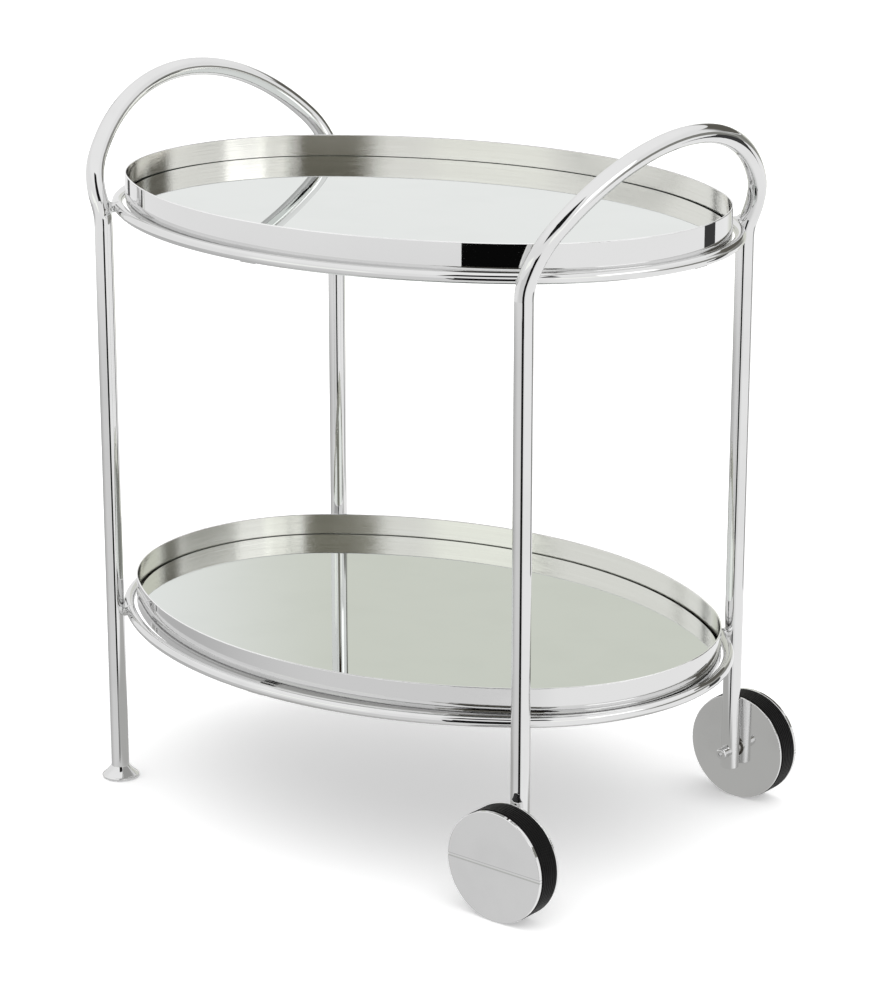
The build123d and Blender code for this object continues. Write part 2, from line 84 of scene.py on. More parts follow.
class NodeBench:
    """Adds and links nodes in one node tree."""

    def __init__(self, tree: bpy.types.NodeTree) -> None:
        """Start on an empty tree.

        Args:
            tree: The tree of a material, a world or a node group.
        """
        self.tree = tree
        self.tree.nodes.clear()

    def add(self, kind: str, **settings: object) -> bpy.types.Node:
        """Add a node.

        Args:
            kind: The node's Blender type name.
            **settings: Properties of the node to set.

        Returns:
            The new node.
        """
        node = self.tree.nodes.new(kind)
        for name, value in settings.items():
            setattr(node, name, value)
        return node

    def feed(self, node: bpy.types.Node, **inputs: object) -> bpy.types.Node:
        """Set or link a node's inputs by name, with _ for a space.

        Args:
            node: The node to feed.
            **inputs: A value to set or a socket to link, for each input.

        Returns:
            The same node.
        """
        for name, value in inputs.items():
            self.put(node.inputs[name.replace("_", " ")], value)
        return node

    def put(self, socket: Socket, value: object) -> None:
        """Link a socket to another one, or set its value.

        Args:
            socket: The input socket.
            value: An output socket, a number, a vector or a colour.
        """
        if isinstance(value, bpy.types.NodeSocket):
            self.tree.links.new(value, socket)
        elif isinstance(value, tuple) and len(value) == 3 and socket.type == "RGBA":
            socket.default_value = (*value, 1.0)
        else:
            socket.default_value = value

    def show(self, surface: Socket, target: str = "Material") -> None:
        """Link a shader to the output of a material or a world."""
        self.put(self.add(f"ShaderNodeOutput{target}").inputs["Surface"], surface)

    def place(self, kind: str = "Object") -> Socket:
        """Give one of the texture coordinates."""
        return self.add("ShaderNodeTexCoord").outputs[kind]

    def axes(self, vector: Socket) -> bpy.types.NodeOutputs:
        """Split a vector into its X, Y and Z sockets."""
        node = self.add("ShaderNodeSeparateXYZ")
        self.put(node.inputs[0], vector)
        return node.outputs

    def math(self, operation: str, *values: object) -> Socket:
        """Add a Math node.

        Args:
            operation: The node's operation.
            *values: One to three numbers or sockets.

        Returns:
            The result's socket.
        """
        node = self.add("ShaderNodeMath", operation=operation)
        for socket, value in zip(node.inputs, values):
            self.put(socket, value)
        return node.outputs[0]

    def vector(self, operation: str, *values: object) -> bpy.types.NodeOutputs:
        """Add a Vector Math node.

        Args:
            operation: The node's operation.
            *values: One or two vectors or sockets.

        Returns:
            The result's sockets, Vector and Value.
        """
        node = self.add("ShaderNodeVectorMath", operation=operation)
        for socket, value in zip(node.inputs, values):
            self.put(socket, value)
        return node.outputs

    def rest(self, share: Socket) -> Socket:
        """Give what a share leaves of the whole."""
        return self.math("SUBTRACT", 1.0, share)

    def between(self, share: Socket, first: object, second: object) -> Socket:
        """Mix two numbers.

        Args:
            share: How much of the second number.
            first: The first number or its socket.
            second: The second number or its socket.

        Returns:
            The mixed number's socket.
        """
        kept = self.math("MULTIPLY", first, self.rest(share))
        return self.math("MULTIPLY_ADD", second, share, kept)

    def span(self, value: Socket, ends: Pair, results: tuple[object, object] = (0.0, 1.0)) -> Socket:
        """Carry a value smoothly from one range to another, held at the ends.

        Args:
            value: The value to carry.
            ends: The start and the end of its range.
            results: What the start and the end become, numbers or sockets.

        Returns:
            The result's socket.
        """
        node = self.add("ShaderNodeMapRange", interpolation_type="SMOOTHSTEP")
        self.feed(node, Value=value, From_Min=ends[0], From_Max=ends[1], To_Min=results[0], To_Max=results[1])
        return node.outputs["Result"]

    def blend(self, share: object, first: object, second: object) -> Socket:
        """Mix two colours.

        Args:
            share: How much of the second colour, a number or a socket.
            first: The first colour or its socket.
            second: The second colour or its socket.

        Returns:
            The mixed colour's socket.
        """
        node = self.add("ShaderNodeMix", data_type="RGBA")
        colours = [socket for socket in node.inputs if socket.type == "RGBA"]
        self.put(node.inputs["Factor"], share)
        self.put(colours[0], first)
        self.put(colours[1], second)
        return next(socket for socket in node.outputs if socket.type == "RGBA")

    def noise(self, place: Socket, scale: object, detail: float) -> Socket:
        """Add a noise texture.

        Args:
            place: The coordinates.
            scale: Waves for each unit of the coordinates, a number or a socket.
            detail: Finer layers of noise.

        Returns:
            The noise value's socket, from 0 to 1 with a mean of about a half.
        """
        node = self.add("ShaderNodeTexNoise")
        self.feed(node, Vector=place, Scale=scale, Detail=detail)
        return node.outputs["Fac"]

    def stretched_noise(self, place: Socket, scales: Triple, detail: float) -> Socket:
        """Add a noise texture with a scale of its own along each axis.

        Args:
            place: The coordinates.
            scales: Waves for each unit of the coordinates, for each axis.
            detail: Finer layers of noise.

        Returns:
            The noise value's socket.
        """
        node = self.add("ShaderNodeMapping")
        self.feed(node, Vector=place, Scale=scales)
        return self.noise(node.outputs["Vector"], 1.0, detail)

    def group(self, tree: bpy.types.NodeTree, **inputs: object) -> bpy.types.Node:
        """Place a node group.

        Args:
            tree: The group.
            **inputs: Values or sockets for its inputs, with _ for a space.

        Returns:
            The group's node.
        """
        node = self.add("ShaderNodeGroup")
        node.node_tree = tree
        return self.feed(node, **inputs)

    def bump(self, height: Socket, distance: float) -> Socket:
        """Turn a height into a normal.

        Args:
            height: The height, from 0 to 1.
            distance: The depth of the relief in metres.

        Returns:
            The normal's socket.
        """
        node = self.add("ShaderNodeBump")
        self.feed(node, Height=height, Distance=distance, Strength=1.0)
        return node.outputs["Normal"]


@dataclass
class SurfaceEffects:
    """Node groups for the marks that several finishes share. Scales are waves for each metre."""

    cloud_scale: float = 14.0
    cloud_detail: float = 4.0
    cloud_range: Pair = (0.42, 0.68)
    wiping_scales: Triple = (60.0, 90.0, 480.0)
    wiping_range: Pair = (0.55, 0.75)
    relief_scale: float = 900.0
    line_scales: Triple = (7.0, 7.0, 2600.0)
    streak_scales: Triple = (4.0, 4.0, 420.0)
    unevenness_scale: float = 45.0
    plain_detail: float = 2.0
    fine_detail: float = 3.0

    def __post_init__(self) -> None:
        """Build each group once."""
        self.polish_haze = self._polish_haze()
        self.brushing = self._brushing()
        self.mould_grain = self._mould_grain()

    @staticmethod
    def _open(name: str, inputs: tuple[str, ...], outputs: tuple[str, ...]) -> NodeBench:
        """Start a group with number sockets.

        Args:
            name: The group's name.
            inputs: Its inputs.
            outputs: Its outputs.

        Returns:
            A bench on the group's tree.
        """
        tree = bpy.data.node_groups.new(name, "ShaderNodeTree")
        for direction, names in (("INPUT", inputs), ("OUTPUT", outputs)):
            for socket_name in names:
                tree.interface.new_socket(socket_name, in_out=direction, socket_type="NodeSocketFloat")
        return NodeBench(tree)

    def _polish_haze(self) -> bpy.types.NodeTree:
        """Make the faint haze, wiping marks and fine relief of polished metal and glass."""
        inputs = ("Roughness", "Haze", "Scratches")
        bench = self._open("polish_haze", inputs, ("Roughness", "Haze Mask", "Height"))
        given = bench.add("NodeGroupInput").outputs
        place = bench.place()
        clouds = bench.span(bench.noise(place, self.cloud_scale, self.cloud_detail), self.cloud_range)
        wiped = bench.stretched_noise(place, self.wiping_scales, self.fine_detail)
        wiping = bench.span(wiped, self.wiping_range)
        hazy = bench.math("MULTIPLY_ADD", clouds, given["Haze"], given["Roughness"])
        total = bench.math("MULTIPLY_ADD", wiping, given["Scratches"], hazy)
        relief = bench.noise(place, self.relief_scale, self.plain_detail)
        bench.feed(bench.add("NodeGroupOutput"), Roughness=total, Haze_Mask=clouds, Height=relief)
        return bench.tree

    def _brushing(self) -> bpy.types.NodeTree:
        """Make the fine level lines and broad streaks of brushed sheet."""
        bench = self._open("brushing", (), ("Lines", "Streaks"))
        place = bench.place()
        lines = bench.stretched_noise(place, self.line_scales, self.fine_detail)
        streaks = bench.stretched_noise(place, self.streak_scales, self.plain_detail)
        bench.feed(bench.add("NodeGroupOutput"), Lines=lines, Streaks=streaks)
        return bench.tree

    def _mould_grain(self) -> bpy.types.NodeTree:
        """Make the fine grain and broad unevenness of rubber, nylon and felt."""
        bench = self._open("mould_grain", ("Grain Scale",), ("Grain", "Unevenness"))
        given = bench.add("NodeGroupInput").outputs
        place = bench.place()
        grain = bench.noise(place, given["Grain Scale"], self.fine_detail)
        uneven = bench.noise(place, self.unevenness_scale, self.fine_detail)
        bench.feed(bench.add("NodeGroupOutput"), Grain=grain, Unevenness=uneven)
        return bench.tree


def blank_material(name: str) -> tuple[bpy.types.Material, NodeBench]:
    """Start a material with no nodes.

    Args:
        name: The material's name.

    Returns:
        The material and a bench on its tree.
    """
    made = bpy.data.materials.new(name)
    made.use_nodes = True
    return made, NodeBench(made.node_tree)


def open_material(name: str) -> tuple[bpy.types.Material, NodeBench, bpy.types.Node]:
    """Start a material with a Principled shader.

    Args:
        name: The material's name.

    Returns:
        The material, a bench on its tree, and its shader node.
    """
    made, bench = blank_material(name)
    shader = bench.add("ShaderNodeBsdfPrincipled")
    bench.show(shader.outputs["BSDF"])
    return made, bench, shader


@dataclass(frozen=True)
class PolishedSteel:
    """Polished or plain steel with a faint haze, and oiled bronze."""

    name: str
    colour: Colour
    hazy_colour: Colour
    roughness: float
    haze: float
    relief: float

    def material(self, effects: SurfaceEffects) -> bpy.types.Material:
        """Make the finish.

        Args:
            effects: The shared node groups.

        Returns:
            The material.
        """
        made, bench, shader = open_material(self.name)
        marks = {"Roughness": self.roughness, "Haze": self.haze, "Scratches": self.haze / 2}
        haze = bench.group(effects.polish_haze, **marks).outputs
        colour = bench.blend(haze["Haze Mask"], self.colour, self.hazy_colour)
        normal = bench.bump(haze["Height"], self.relief)
        bench.feed(shader, Base_Color=colour, Metallic=1.0, Roughness=haze["Roughness"], Normal=normal)
        return made


@dataclass(frozen=True)
class GroovedDisc:
    """Polished wheel disc with painted shade: dark lines painted along both edges of its groove, where its
    corners lie in shade.
    """

    name: str = "polished_disc"
    colour: Colour = grey(0.83)
    hazy_colour: Colour = grey(0.80)
    groove_shade_colour: Colour = grey(0.60)
    roughness: float = 0.05
    haze: float = 0.04
    axle_height: float = 0.060
    line_offset: float = 0.0016
    line_half_width: float = 0.0007

    def material(self, effects: SurfaceEffects) -> bpy.types.Material:
        """Make the finish.

        Args:
            effects: The shared node groups.

        Returns:
            The material.
        """
        made, bench, shader = open_material(self.name)
        height = bench.axes(bench.place())["Z"]
        from_axle = bench.math("ABSOLUTE", bench.math("SUBTRACT", height, self.axle_height))
        from_line = bench.math("ABSOLUTE", bench.math("SUBTRACT", from_axle, self.line_offset))
        # Painted shade: a dark band along each edge of the groove, for the shade in its corners.
        groove_shade = bench.span(from_line, (self.line_half_width / 2, self.line_half_width), (1.0, 0.0))
        marks = {"Roughness": self.roughness, "Haze": self.haze, "Scratches": self.haze / 2}
        haze = bench.group(effects.polish_haze, **marks).outputs
        plain = bench.blend(haze["Haze Mask"], self.colour, self.hazy_colour)
        colour = bench.blend(groove_shade, plain, self.groove_shade_colour)
        bench.feed(shader, Base_Color=colour, Metallic=1.0, Roughness=haze["Roughness"])
        return made


@dataclass(frozen=True)
class TraySheet:
    """Tray sheet that is polished outside and brushed along the inside of the wall, with a painted highlight
    on the rim.
    """

    name: str
    rim_height: float
    lean: float
    outside: Colour = grey(0.79)
    inside: Colour = (0.92, 0.905, 0.87)
    inside_streak: Colour = (0.83, 0.81, 0.77)
    # Painted highlight: the near-white colour of the rim's top band.
    rim_highlight_colour: Colour = grey(0.98)
    outside_roughness: float = 0.025
    outside_haze: float = 0.02
    inside_roughness: float = 0.10
    streak_roughness: float = 0.03
    inward_limit: float = -0.02
    brushed_spread: float = 0.9
    across_lines: float = 0.25
    line_depth: float = 0.00004
    rim_rounding: float = 0.0011
    rim_lift: float = 2.5

    def material(self, effects: SurfaceEffects) -> bpy.types.Material:
        """Make the finish.

        Args:
            effects: The shared node groups.

        Returns:
            The material.
        """
        made, bench, shader = open_material(self.name)
        inner = self._inside(bench)
        # Painted highlight: the rim's top band takes a near-white colour, and its normal is also tilted up.
        rim_foot = self.rim_height - self.rim_rounding
        rim = bench.span(bench.axes(bench.place())["Z"], (rim_foot, rim_foot + self.rim_rounding / 2))
        brushing = bench.group(effects.brushing).outputs
        marks = {"Haze": self.outside_haze, "Scratches": self.outside_haze / 2}
        haze = bench.group(effects.polish_haze, Roughness=self.outside_roughness, **marks).outputs
        streaks = brushing["Streaks"]
        wall = bench.blend(inner, self.outside, bench.blend(streaks, self.inside, self.inside_streak))
        brushed = bench.math("MULTIPLY_ADD", streaks, self.streak_roughness, self.inside_roughness)
        relief = bench.bump(bench.math("MULTIPLY", brushing["Lines"], inner), self.line_depth)
        bench.feed(
            shader,
            Base_Color=bench.blend(rim, wall, self.rim_highlight_colour),
            Metallic=1.0,
            Roughness=bench.between(inner, haze["Roughness"], brushed),
            Normal=self._tilted(bench, relief, rim, inner),
            Anisotropic=self.brushed_spread,
            Anisotropic_Rotation=self.across_lines,
            Tangent=bench.add("ShaderNodeTangent", direction_type="RADIAL", axis="Z").outputs["Tangent"],
        )
        return made

    def _inside(self, bench: NodeBench) -> Socket:
        """Give a mask that tells the wall's inside from its outside, by the way it faces."""
        level = bench.vector("MULTIPLY", bench.place("Normal"), (1.0, 1.0, 0.0))["Vector"]
        outward = bench.vector("DOT_PRODUCT", level, bench.place())["Value"]
        return bench.math("LESS_THAN", outward, self.inward_limit)

    def _tilted(self, bench: NodeBench, relief: Socket, rim: Socket, inner: Socket) -> Socket:
        """Tilt a normal up at the rounded rim, and down on the outside where the wall leans.

        Args:
            bench: The bench on the material.
            relief: The normal.
            rim: The mask of the rim.
            inner: The mask of the wall's inside.

        Returns:
            The tilted normal's socket.
        """
        leaning = bench.math("MULTIPLY", bench.rest(inner), -self.lean)
        upward = bench.add("ShaderNodeCombineXYZ")
        bench.put(upward.inputs["Z"], bench.math("MULTIPLY_ADD", rim, self.rim_lift, leaning))
        tilted = bench.vector("ADD", relief, upward.outputs[0])["Vector"]
        return bench.vector("NORMALIZE", tilted)["Vector"]


@dataclass(frozen=True)
class MirrorGlass:
    """Silvered plate glass with a green ground edge, whose colour also holds painted shade from the gap at
    the tray wall.
    """

    name: str
    edge: Colour
    silver: Colour = (0.80, 0.83, 0.81)
    wiped_silver: Colour = (0.785, 0.815, 0.795)
    roughness: float = 0.004
    haze: float = 0.006
    scratches: float = 0.004
    edge_roughness: float = 0.3
    level_limit: float = 0.9

    def material(self, effects: SurfaceEffects) -> bpy.types.Material:
        """Make the finish, with the edge colour (green, with painted shade) only where the surface is not
        level.

        Args:
            effects: The shared node groups.

        Returns:
            The material.
        """
        made, bench, shader = open_material(self.name)
        upright = bench.axes(bench.place("Normal"))["Z"]
        steep = bench.math("LESS_THAN", bench.math("ABSOLUTE", upright), self.level_limit)
        marks = {"Roughness": self.roughness, "Haze": self.haze, "Scratches": self.scratches}
        haze = bench.group(effects.polish_haze, **marks).outputs
        face = bench.blend(haze["Haze Mask"], self.silver, self.wiped_silver)
        colour = bench.blend(steep, face, self.edge)
        roughness = bench.math("MULTIPLY_ADD", steep, self.edge_roughness, haze["Roughness"])
        bench.feed(shader, Base_Color=colour, Metallic=1.0, Roughness=roughness)
        return made


@dataclass(frozen=True)
class MouldedStuff:
    """Nylon, felt or painted board: a matt finish with grain and an uneven tone."""

    name: str
    colour: Colour
    worn_colour: Colour
    roughness: float
    grain_scale: float
    relief: float
    specular: float = 0.5
    worn_range: Pair = (0.35, 0.7)
    worn_roughness: float = 0.12

    def material(self, effects: SurfaceEffects) -> bpy.types.Material:
        """Make the finish.

        Args:
            effects: The shared node groups.

        Returns:
            The material.
        """
        made, bench, shader = open_material(self.name)
        grain = bench.group(effects.mould_grain, Grain_Scale=self.grain_scale).outputs
        worn = bench.span(grain["Unevenness"], self.worn_range)
        colour = bench.blend(worn, self.colour, self.worn_colour)
        roughness = bench.math("MULTIPLY_ADD", worn, self.worn_roughness, self.roughness)
        normal = bench.bump(self.height(bench, grain["Grain"]), self.relief)
        bench.feed(shader, Base_Color=colour, Roughness=roughness, Normal=normal)
        bench.feed(shader, Specular_IOR_Level=self.specular)
        return made

    def height(self, bench: NodeBench, grain: Socket) -> Socket:
        """Give the height of the relief, which is the grain alone."""
        return grain


@dataclass(frozen=True)
class RibbedRubber(MouldedStuff):
    """Tyre rubber with fine ribs round the wheel."""

    rib_pitch: float = 0.0031
    grain_share: float = 0.3

    def height(self, bench: NodeBench, grain: Socket) -> Socket:
        """Give the height of the relief, with ribs that repeat along the axle.

        Args:
            bench: The bench on the material.
            grain: The grain.

        Returns:
            The height's socket.
        """
        along_axle = bench.axes(bench.place())["Y"]
        wave = bench.math("SINE", bench.math("MULTIPLY", along_axle, 2 * math.pi / self.rib_pitch))
        return bench.math("MULTIPLY_ADD", grain, self.grain_share, wave)


def dress(node: str, material: bpy.types.Material) -> None:
    """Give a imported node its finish.

    Args:
        node: The node's name.
        material: The finish.
    """
    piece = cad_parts[node]
    for place in piece.material_slots:
        place.link = "OBJECT"
        place.material = material
    LOG.info("dressed %s in %s", node, material.name)


@dataclass
class Finishes:
    """All finishes of the cart, made once."""

    effects: SurfaceEffects = field(default_factory=SurfaceEffects)

    def __post_init__(self) -> None:
        """Make each material."""
        self._steels()
        self._moulded()
        self._shelves()

    def _steels(self) -> None:
        """Make the finishes of tubes, welds, bolts, discs and hidden metal pieces."""
        self.tube = PolishedSteel(
            "polished_tube", grey(0.80), grey(0.77), roughness=0.02, haze=0.02, relief=0.0000012
        ).material(self.effects)
        self.weld = PolishedSteel(
            "polished_weld", grey(0.76), grey(0.66), roughness=0.05, haze=0.08, relief=0.00001
        ).material(self.effects)
        self.bolt = PolishedSteel(
            "polished_bolt", grey(0.80), grey(0.76), roughness=0.04, haze=0.03, relief=0.000002
        ).material(self.effects)
        self.inner_disc = PolishedSteel(
            "inner_disc", grey(0.84), grey(0.79), roughness=0.08, haze=0.05, relief=0.000002
        ).material(self.effects)
        self.plain = PolishedSteel(
            "plain_steel", (0.60, 0.60, 0.59), (0.50, 0.50, 0.49), roughness=0.22, haze=0.12, relief=0.000006
        ).material(self.effects)
        self.bronze = PolishedSteel(
            "oiled_bronze", (0.17, 0.155, 0.135), (0.12, 0.11, 0.10), roughness=0.35, haze=0.15,
            relief=0.00001,
        ).material(self.effects)
        self.disc = GroovedDisc().material(self.effects)

    def _moulded(self) -> None:
        """Make the finishes of tyres, cores, felts and boards."""
        self.rubber = RibbedRubber(
            "tyre_rubber", grey(0.0035), (0.007, 0.0068, 0.0068), roughness=0.42, grain_scale=900.0,
            relief=0.00025, specular=0.07,
        ).material(self.effects)
        self.nylon = MouldedStuff(
            "moulded_nylon", grey(0.05), grey(0.07), roughness=0.5, grain_scale=500.0, relief=0.00003
        ).material(self.effects)
        self.felt = MouldedStuff(
            "pressed_felt", grey(0.06), (0.11, 0.11, 0.10), roughness=0.9, grain_scale=1400.0, relief=0.0002
        ).material(self.effects)
        self.board = MouldedStuff(
            "painted_board", (0.020, 0.019, 0.018), (0.035, 0.033, 0.030), roughness=0.6, grain_scale=350.0,
            relief=0.00005,
        ).material(self.effects)

    def _shelves(self) -> None:
        """Make the finishes of each tier's tray and mirror."""
        # Painted shade: each tier's glass edge colour is set to the shade in the gap between glass and wall,
        # near black above and grey below.
        edges = {Tier.UPPER: (0.02, 0.03, 0.025), Tier.LOWER: (0.28, 0.30, 0.28)}
        leans = {Tier.UPPER: 0.0, Tier.LOWER: 0.12}
        self.sheet = {}
        self.mirror = {}
        for tier in Tier:
            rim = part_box(f"{tier.value}_tray")[1][2]
            self.sheet[tier] = TraySheet(f"{tier.value}_tray_sheet", rim, leans[tier]).material(self.effects)
            self.mirror[tier] = MirrorGlass(f"{tier.value}_mirror_glass", edges[tier]).material(self.effects)


@dataclass
class FrameTubes:
    """The two hoops, the two bar rings and the fittings at the legs' lower ends."""

    finishes: Finishes

    def build(self) -> None:
        """Dress the tubes, rings, feet and plugs."""
        for node in ("foot_end_hoop", "wheel_end_hoop", "front_foot", "rear_foot", "leg_end_plugs"):
            dress(node, self.finishes.tube)
        for tier in Tier:
            dress(f"{tier.value}_ring", self.finishes.tube)
        dress("foot_glides", self.finishes.felt)
        dress("leg_inserts", self.finishes.nylon)


@dataclass
class WeldBeads:
    """The lumpy weld collars between one ring and the four legs, in place of the plain solids."""

    tier: Tier
    finishes: Finishes
    leg: Pair = (0.290, 0.19166)
    arc_centre: Pair = (0.14163, 0.0)
    reach: float = 0.0172
    depth_in_leg: float = 0.0055
    leg_radius: float = 0.0088
    waist_radius: float = 0.0056
    bar_radius: float = 0.0066
    sides: int = 40
    cuts: int = 9
    level_slack: float = 0.001
    turn_step: float = 1.3
    lump_size: float = 0.0032
    lump_height: float = 0.0013

    def build(self) -> None:
        """Model one collar, set a copy of it at each leg, and join them to one piece."""
        length = self.reach - self.depth_in_leg
        corners = [(x_sign, y_sign) for x_sign in (1, -1) for y_sign in (1, -1)]
        beads = [self._collar(length)]
        while len(beads) < len(corners):
            bpy.ops.object.duplicate(linked=False)
            beads.append(bpy.context.object)
        low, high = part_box(f"{self.tier.value}_ring")
        height = (low[2] + high[2]) / 2
        for index, (bead, (x_sign, y_sign)) in enumerate(zip(beads, corners)):
            leg = Vector((self.leg[0] * x_sign, self.leg[1] * y_sign, height))
            centre = Vector((self.arc_centre[0] * x_sign, self.arc_centre[1], height))
            inward = (centre - leg).normalized()
            turn = Quaternion((0, 0, 1), index * self.turn_step)
            bead.location = leg + inward * (self.depth_in_leg + length / 2)
            bead.rotation_mode = "QUATERNION"
            bead.rotation_quaternion = inward.to_track_quat("Z", "Y") @ turn
        bpy.ops.object.select_all(action="DESELECT")
        for bead in beads:
            bead.select_set(True)
        bpy.context.view_layer.objects.active = beads[0]
        bpy.ops.object.join()
        piece = bpy.context.object
        bpy.ops.object.transform_apply(location=True, rotation=True, scale=True)
        piece.name = f"{self.tier.value}_weld_beads"
        piece.data.materials.append(self.finishes.weld)
        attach(piece, "frame")
        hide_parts(f"{self.tier.value}_ring_welds")
        LOG.info("modelled %s", piece.name)

    def _collar(self, length: float) -> bpy.types.Object:
        """Model one collar at the origin, along Z from the leg to the bar.

        Args:
            length: The collar's length.

        Returns:
            The collar, as the active object.
        """
        bpy.ops.object.select_all(action="DESELECT")
        bpy.ops.mesh.primitive_cylinder_add(vertices=self.sides, radius=self.waist_radius, depth=length)
        collar = bpy.context.object
        points = collar.data.vertices
        bpy.ops.object.mode_set(mode="EDIT")
        bpy.ops.mesh.select_mode(type="EDGE")
        bpy.ops.mesh.select_all(action="DESELECT")
        bpy.ops.object.mode_set(mode="OBJECT")
        for edge in collar.data.edges:
            first, second = (points[index].co.z for index in edge.vertices)
            edge.select = abs(first - second) > length / 2
        bpy.ops.object.mode_set(mode="EDIT")
        bpy.ops.mesh.subdivide(number_cuts=self.cuts)
        for step in range(self.cuts + 2):
            self._widen_ring(collar, length, step / (self.cuts + 1))
        bpy.ops.object.mode_set(mode="OBJECT")
        self._add_lumps(collar)
        bpy.ops.object.shade_smooth()
        return collar

    def _widen_ring(self, collar: bpy.types.Object, length: float, share: float) -> None:
        """Scale one ring of the collar's points to the flared profile.

        Args:
            collar: The collar, in edit mode.
            length: Its length.
            share: The ring's place along it, from 0 at the leg to 1 at the bar.
        """
        from_middle = share - 0.5
        end = self.leg_radius if from_middle < 0 else self.bar_radius
        flare = abs(2 * from_middle) ** 2
        factor = (self.waist_radius + (end - self.waist_radius) * flare) / self.waist_radius
        height = from_middle * length
        bpy.ops.mesh.select_mode(type="VERT")
        bpy.ops.mesh.select_all(action="DESELECT")
        bpy.ops.object.mode_set(mode="OBJECT")
        for point in collar.data.vertices:
            point.select = abs(point.co.z - height) < length * self.level_slack
        bpy.ops.object.mode_set(mode="EDIT")
        bpy.ops.transform.resize(value=(factor, factor, 1.0), center_override=(0.0, 0.0, height))

    def _add_lumps(self, collar: bpy.types.Object) -> None:
        """Round the collar and raise the lumps of the laid bead on it.

        Args:
            collar: The collar, as the active object.
        """
        rounding = collar.modifiers.new("rounding", "SUBSURF")
        rounding.levels = 1
        rounding.render_levels = 1
        lumps = bpy.data.textures.new("weld_lumps", "CLOUDS")
        lumps.noise_scale = self.lump_size
        raising = collar.modifiers.new("lumps", "DISPLACE")
        raising.texture = lumps
        raising.texture_coords = "LOCAL"
        raising.strength = self.lump_height
        for modifier in ("rounding", "lumps"):
            bpy.ops.object.modifier_apply(modifier=modifier)


@dataclass
class MirrorTray:
    """One shelf: the tray, its mirror, felt and board, and what holds it on its ring."""

    tier: Tier
    finishes: Finishes

    def build(self) -> None:
        """Dress the shelf's nodes."""
        name = self.tier.value
        dress(f"{name}_tray", self.finishes.sheet[self.tier])
        dress(f"{name}_mirror", self.finishes.mirror[self.tier])
        dress(f"{name}_mirror_felt", self.finishes.felt)
        dress(f"{name}_mirror_board", self.finishes.board)
        for fastener in ("lugs", "studs", "nuts"):
            dress(f"{name}_tray_{fastener}", self.finishes.plain)


@dataclass
class Wheel:
    """One wheel with its axle bolt."""

    side: Side
    finishes: Finishes

    def build(self) -> None:
        """Dress the wheel's nodes."""
        name = self.side.value
        dress(f"{name}_axle_bolt", self.finishes.bolt)
        dress(f"{name}_wheel_inner_disc", self.finishes.inner_disc)
        dress(f"{name}_wheel_outer_disc", self.finishes.disc)
        dress(f"{name}_wheel_core", self.finishes.nylon)
        dress(f"{name}_wheel_bush", self.finishes.bronze)
        dress(f"{name}_wheel_tyre", self.finishes.rubber)


@dataclass
class AxleFittings:
    """The small fittings that both axles share."""

    finishes: Finishes

    def build(self) -> None:
        """Dress the fittings."""
        dress("axle_saddles", self.finishes.bolt)
        for node in ("axle_spacers", "axle_nuts"):
            dress(node, self.finishes.plain)


@dataclass
class Viewpoint:
    """The camera, by its direction from an aim point."""

    azimuth: float = 39.43
    elevation: float = 16.73
    distance: float = 3.42
    aim: Triple = (0.0125, 0.0121, 0.3407)
    focal_pixels: float = 3092.0
    frame_height: int = 1000
    sensor: float = 36.0

    def back(self) -> Vector:
        """Give the direction from the aim point to the camera."""
        turn = math.radians(self.azimuth)
        rise = math.radians(self.elevation)
        return Vector((math.sin(turn) * math.cos(rise), -math.cos(turn) * math.cos(rise), math.sin(rise)))

    def build(self) -> None:
        """Make the camera and let the scene use it."""
        lens = bpy.data.cameras.new("camera")
        lens.sensor_width = self.sensor
        lens.lens = self.focal_pixels / self.frame_height * self.sensor
        camera = bpy.data.objects.new("camera", lens)
        camera.location = Vector(self.aim) + self.back() * self.distance
        camera.rotation_mode = "QUATERNION"
        camera.rotation_quaternion = (-self.back()).to_track_quat("-Z", "Y")
        bpy.context.scene.collection.objects.link(camera)
        bpy.context.scene.camera = camera
        LOG.info("camera at %s", tuple(round(x, 3) for x in camera.location))


